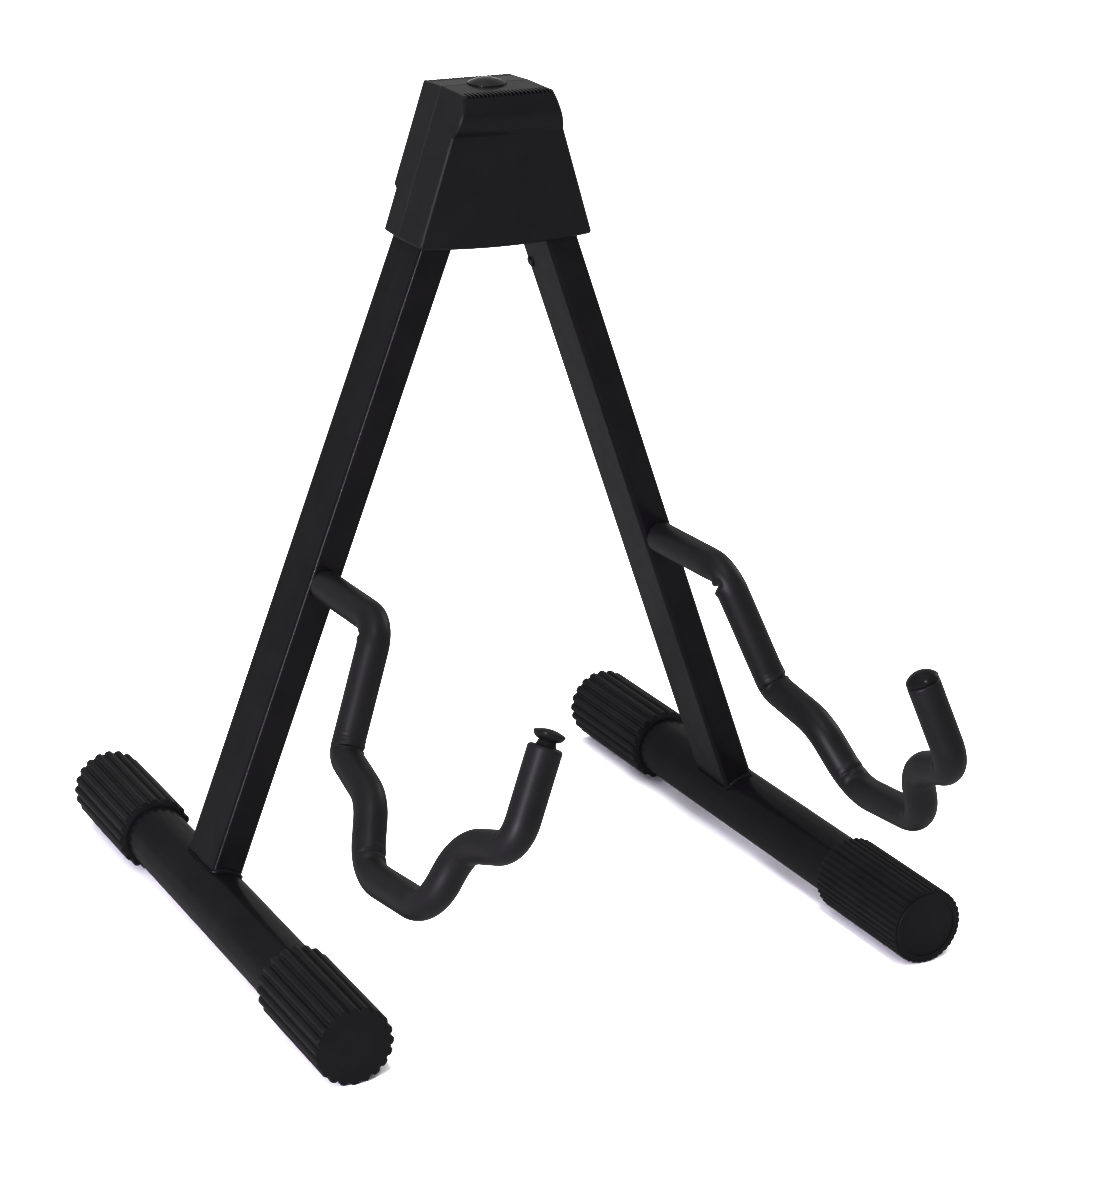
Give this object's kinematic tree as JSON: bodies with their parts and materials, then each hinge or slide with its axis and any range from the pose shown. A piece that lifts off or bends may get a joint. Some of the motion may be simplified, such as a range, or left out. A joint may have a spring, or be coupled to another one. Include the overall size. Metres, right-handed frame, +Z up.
{
  "type": "guitar stand",
  "caption": "Folding A-frame guitar stand with a moulded head and push button, rectangular steel legs, round ribbed-capped feet and foam-covered bent support arms.",
  "frame": {"origin": "on the floor, at the middle of the stand's width and depth", "axes": "+X to the stand's left as a guitar faces out of it (the viewer's right), -Y to the front, where the arms reach, +Z up"},
  "size_m": [0.2762, 0.337, 0.333],
  "materials": {
    "head_plastic": "satin moulded black",
    "button_plastic": "smooth black",
    "insert_plastic": "moulded black",
    "nylon": "natural nylon",
    "leg_paint": "satin black powder coat",
    "plated_steel": "zinc plated",
    "spring_steel": "oiled spring steel",
    "cap_rubber": "ribbed black rubber",
    "arm_foam": "smooth-skinned black foam",
    "plug_rubber": "moulded black rubber"
  },
  "bodies": {
    "head": {"head_front_shell": "head_plastic", "head_rear_shell": "head_plastic", "guide_plate": "plated_steel", "pivot_washers": "nylon", "shell_screws": "plated_steel", "lock_spring_left": "spring_steel", "lock_spring_right": "spring_steel", "pivot_pin_left": "plated_steel", "pivot_pin_right": "plated_steel"},
    "button": {"release_button": "button_plastic", "release_yoke": "plated_steel", "yoke_screw": "plated_steel", "button_spring": "spring_steel"},
    "left_leg": {"pivot_bush_left": "nylon", "leg_tube_left": "leg_paint", "leg_insert_left": "insert_plastic", "insert_rivet_left": "leg_paint", "foot_tube_left": "leg_paint", "leg_weld_left": "leg_paint", "foot_cap_front_left": "cap_rubber", "foot_cap_rear_left": "cap_rubber", "arm_tube_left": "leg_paint", "arm_foam_left": "arm_foam", "arm_weld_left": "leg_paint", "arm_plug_left": "plug_rubber"},
    "right_leg": {"pivot_bush_right": "nylon", "leg_tube_right": "leg_paint", "leg_insert_right": "insert_plastic", "insert_rivet_right": "leg_paint", "foot_tube_right": "leg_paint", "leg_weld_right": "leg_paint", "foot_cap_front_right": "cap_rubber", "foot_cap_rear_right": "cap_rubber", "arm_tube_right": "leg_paint", "arm_foam_right": "arm_foam", "arm_weld_right": "leg_paint", "arm_plug_right": "plug_rubber"}
  },
  "joints": [
    {"name": "left_fold", "type": "hinge", "parent": "head", "child": "left_leg", "pos_m": [-0.01729, 0.0513, 0.29694], "axis": [0, -1, 0], "range_deg": [0, 19.6], "deforming": ["lock_spring_left"]},
    {"name": "right_fold", "type": "hinge", "parent": "head", "child": "right_leg", "pos_m": [0.01729, 0.0513, 0.29694], "axis": [0, 1, 0], "range_deg": [0, 19.6], "deforming": ["lock_spring_right"]},
    {"name": "button_press", "type": "slide", "parent": "head", "child": "button", "axis": [0, 0, -1], "range_m": [0, 0.003], "stiffness_N_per_m": 600, "deforming": ["button_spring"]}
  ]
}
